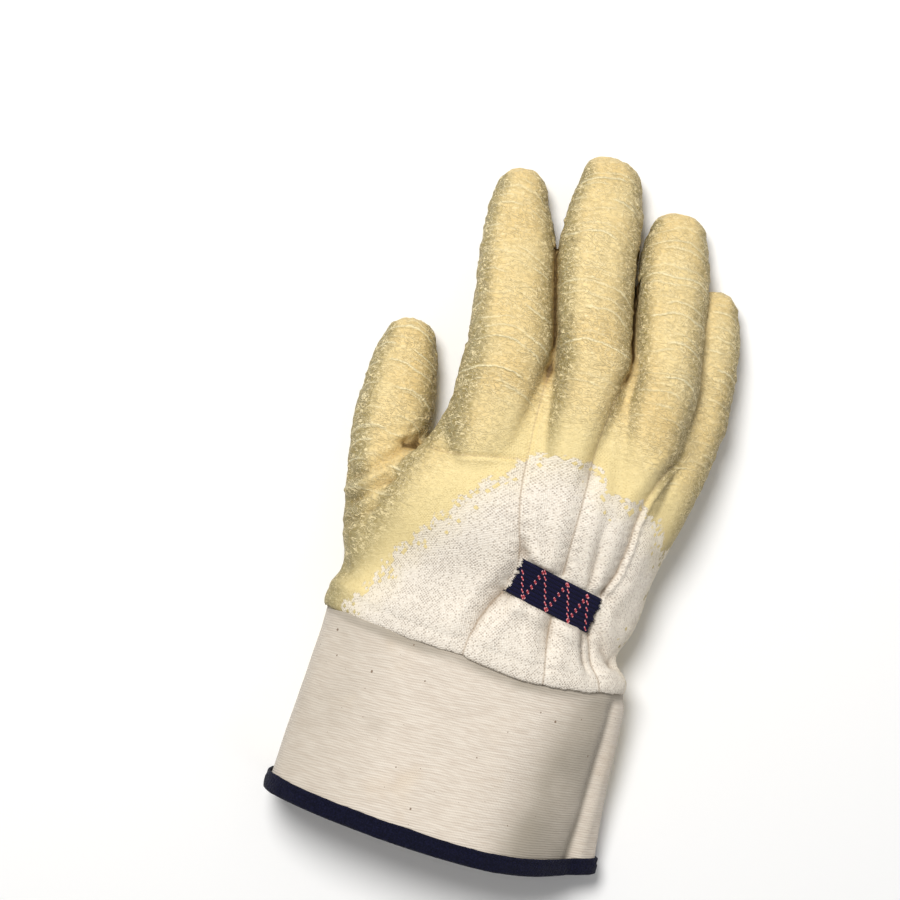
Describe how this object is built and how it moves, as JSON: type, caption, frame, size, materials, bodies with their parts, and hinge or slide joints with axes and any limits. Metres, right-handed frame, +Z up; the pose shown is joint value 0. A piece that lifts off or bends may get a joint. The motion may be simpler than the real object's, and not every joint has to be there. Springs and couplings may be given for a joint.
{
  "type": "work glove",
  "caption": "right-hand work glove of jersey dipped in crinkled latex, with a bare cloth back gathered by a sewn elastic and a bound canvas safety cuff, lying palm down",
  "frame": {"origin": "on the surface under the glove, at the middle of its length and width", "axes": "+Z up, +Y from the cuff's hem to the fingertips, -X to the thumb; the glove lies on its palm"},
  "size_m": [0.1422, 0.2814, 0.0514],
  "materials": {
    "latex": "matt, finely crinkled, cream yellow",
    "jersey": "undyed cotton jersey with dark flecks",
    "canvas": "undyed starched cotton twill with seed specks",
    "elastic": "navy ribbed elastic",
    "binding": "navy cotton binding tape"
  },
  "bodies": {
    "root": {"latex_hand": "latex", "back_panel_index": "jersey", "back_panel_middle": "jersey", "back_panel_ring": "jersey", "back_panel_little": "jersey", "elastic_band": "elastic", "safety_cuff": "canvas", "cuff_binding": "binding"}
  },
  "joints": []
}
